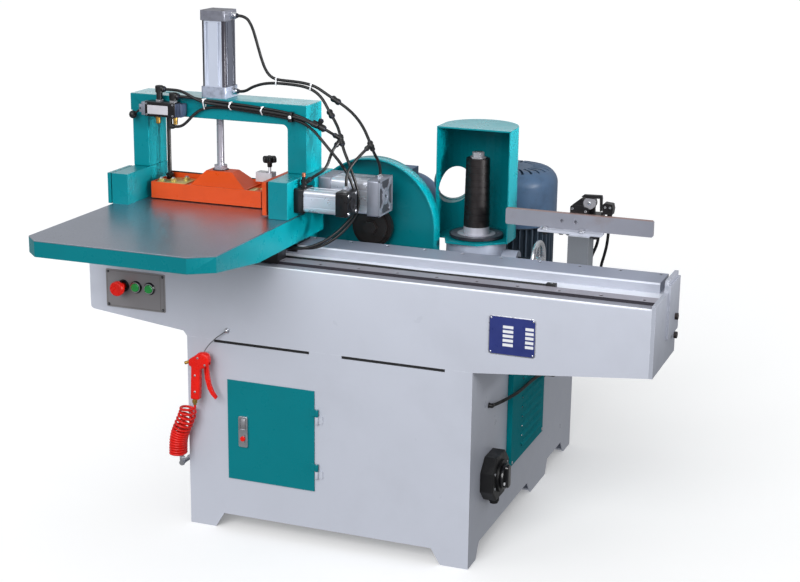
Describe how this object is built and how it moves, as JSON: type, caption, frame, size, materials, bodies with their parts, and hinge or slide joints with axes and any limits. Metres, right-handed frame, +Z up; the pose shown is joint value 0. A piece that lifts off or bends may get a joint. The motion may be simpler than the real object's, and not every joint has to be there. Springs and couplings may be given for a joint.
{
  "type": "finger joint machine",
  "caption": "Woodworking finger joint machine: timber is clamped on a sliding carriage and carried past a trimming saw and a vertical cutter spindle.",
  "frame": {"origin": "on the floor, under the centre of the cabinet's footprint", "axes": "+X along the bed the way the carriage feeds, +Y to the back of the machine, +Z up"},
  "size_m": [1.576, 1.3875, 1.389],
  "materials": {
    "light_paint": "gloss",
    "teal_paint": "gloss",
    "orange_paint": "satin",
    "motor_paint": "satin",
    "stainless": "satin",
    "ground_steel": "satin",
    "dark_steel": "satin",
    "aluminium": "satin",
    "chrome": "polished",
    "black_plastic": "matte",
    "red_plastic": "gloss",
    "green_plastic": "gloss",
    "grey_plate": "satin",
    "hose_black": "satin",
    "hose_red": "gloss",
    "belt_rubber": "matte"
  },
  "bodies": {
    "base": {"base_cabinet": "light_paint", "bed_beam": "light_paint", "bed_end_plate": "light_paint", "stop_post": "light_paint", "louvre_panel": "teal_paint", "saw_hood": "teal_paint", "cutter_hood": "teal_paint", "saw_bracket": "teal_paint", "drive_bracket": "teal_paint", "motor_frame": "motor_paint", "motor_cowl": "motor_paint", "saw_motor": "motor_paint", "bed_rails": "ground_steel", "bed_fasteners": "ground_steel", "stop_bar": "ground_steel", "spindle_housing": "ground_steel", "spindle_bearings": "ground_steel", "wall_fittings": "ground_steel", "switchgear": "black_plastic", "button_bodies": "black_plastic", "isolator_body": "black_plastic", "limit_valve": "black_plastic", "air_gun_body": "red_plastic", "control_panel": "grey_plate", "trough_hose": "hose_black", "side_cable": "hose_black", "limit_hoses": "hose_black", "coil_hose": "hose_red", "drive_belt": "belt_rubber"},
    "door": {"cabinet_door": "teal_paint", "door_latch": "chrome"},
    "latch": {"latch_button": "red_plastic"},
    "estop": {"e_stop_button": "red_plastic"},
    "button_left": {"start_button_left": "green_plastic"},
    "button_right": {"start_button_right": "green_plastic"},
    "isolator_switch": {"isolator_knob": "black_plastic"},
    "gun_trigger": {"air_gun_trigger": "red_plastic"},
    "saw_rotor": {"saw_arbor": "dark_steel"},
    "spindle": {"spindle_shaft": "ground_steel", "spindle_collars": "dark_steel", "spindle_pulley": "dark_steel"},
    "motor": {"motor_rotor": "dark_steel"},
    "wheel": {"handwheel": "chrome"},
    "stop_lever": {"limit_lever": "black_plastic"},
    "carriage": {"table_top": "stainless", "carriage_frame": "teal_paint", "slide_shoes": "ground_steel", "left_cheek": "teal_paint", "right_cheek": "teal_paint", "gantry_frame": "teal_paint", "press_cylinder": "aluminium", "side_cylinders": "aluminium", "hand_valve": "black_plastic", "hose_fittings": "black_plastic", "air_hoses": "hose_black"},
    "press": {"press_bar": "orange_paint", "press_rods": "ground_steel"},
    "knob": {"star_knob": "black_plastic"},
    "pusher": {"side_pusher": "orange_paint"},
    "valve_handle": {"valve_lever": "black_plastic"}
  },
  "joints": [
    {"name": "carriage_slide", "type": "slide", "parent": "base", "child": "carriage", "axis": [1, 0, 0], "range_m": [0, 0.92]},
    {"name": "press_slide", "type": "slide", "parent": "carriage", "child": "press", "axis": [0, 0, 1], "range_m": [0, 0.09]},
    {"name": "pusher_slide", "type": "slide", "parent": "carriage", "child": "pusher", "axis": [-1, 0, 0], "range_m": [0, 0.04]},
    {"name": "knob_turn", "type": "hinge", "parent": "press", "child": "knob", "pos_m": [-0.268, -0.262, 0.976], "axis": [0, 0, 1], "continuous": true},
    {"name": "valve_swing", "type": "hinge", "parent": "carriage", "child": "valve_handle", "pos_m": [-0.613, -0.3375, 1.121], "axis": [0, 1, 0], "range_deg": [0, 30]},
    {"name": "saw_spin", "type": "hinge", "parent": "base", "child": "saw_rotor", "pos_m": [0, -0.17, 0.812], "axis": [0, 1, 0], "continuous": true},
    {"name": "motor_spin", "type": "hinge", "parent": "base", "child": "motor", "pos_m": [0.287, 0.2, 0.7], "axis": [0, 0, 1], "continuous": true},
    {"name": "spindle_spin", "type": "hinge", "parent": "base", "child": "spindle", "pos_m": [0.27, -0.085, 0.8], "axis": [0, 0, 1], "continuous": true},
    {"name": "wheel_turn", "type": "hinge", "parent": "base", "child": "wheel", "pos_m": [0.447, -0.085, 0.737], "axis": [1, 0, 0], "continuous": true},
    {"name": "door_hinge", "type": "hinge", "parent": "base", "child": "door", "pos_m": [-0.022, -0.506, 0.292], "axis": [0, 0, 1], "range_deg": [0, 110]},
    {"name": "latch_press", "type": "slide", "parent": "door", "child": "latch", "axis": [0, 1, 0], "range_m": [0, 0.004], "stiffness_N_per_m": 600, "springref_m": -0.002},
    {"name": "estop_press", "type": "slide", "parent": "base", "child": "estop", "axis": [0, 1, 0], "range_m": [0, 0.006]},
    {"name": "start_left_press", "type": "slide", "parent": "base", "child": "button_left", "axis": [0, 1, 0], "range_m": [0, 0.0035], "stiffness_N_per_m": 700, "springref_m": -0.002},
    {"name": "start_right_press", "type": "slide", "parent": "base", "child": "button_right", "axis": [0, 1, 0], "range_m": [0, 0.0035], "stiffness_N_per_m": 700, "springref_m": -0.002},
    {"name": "isolator_turn", "type": "hinge", "parent": "base", "child": "isolator_switch", "pos_m": [0.456, -0.345, 0.212], "axis": [1, 0, 0], "range_deg": [0, 90]},
    {"name": "trigger_squeeze", "type": "hinge", "parent": "base", "child": "gun_trigger", "pos_m": [-0.331, -0.533, 0.479], "axis": [0, 1, 0], "range_deg": [0, 10], "stiffness_Nm_per_rad": 1, "springref_deg": -5.73},
    {"name": "stop_lever_rock", "type": "hinge", "parent": "base", "child": "stop_lever", "pos_m": [0.595, -0.118, 0.921], "axis": [0, 1, 0], "range_deg": [0, 10], "stiffness_Nm_per_rad": 0.6, "springref_deg": -8.59}
  ],
  "couplings": [
    {"joint": "spindle_spin", "follows": "motor_spin", "ratio": 2.195}
  ]
}
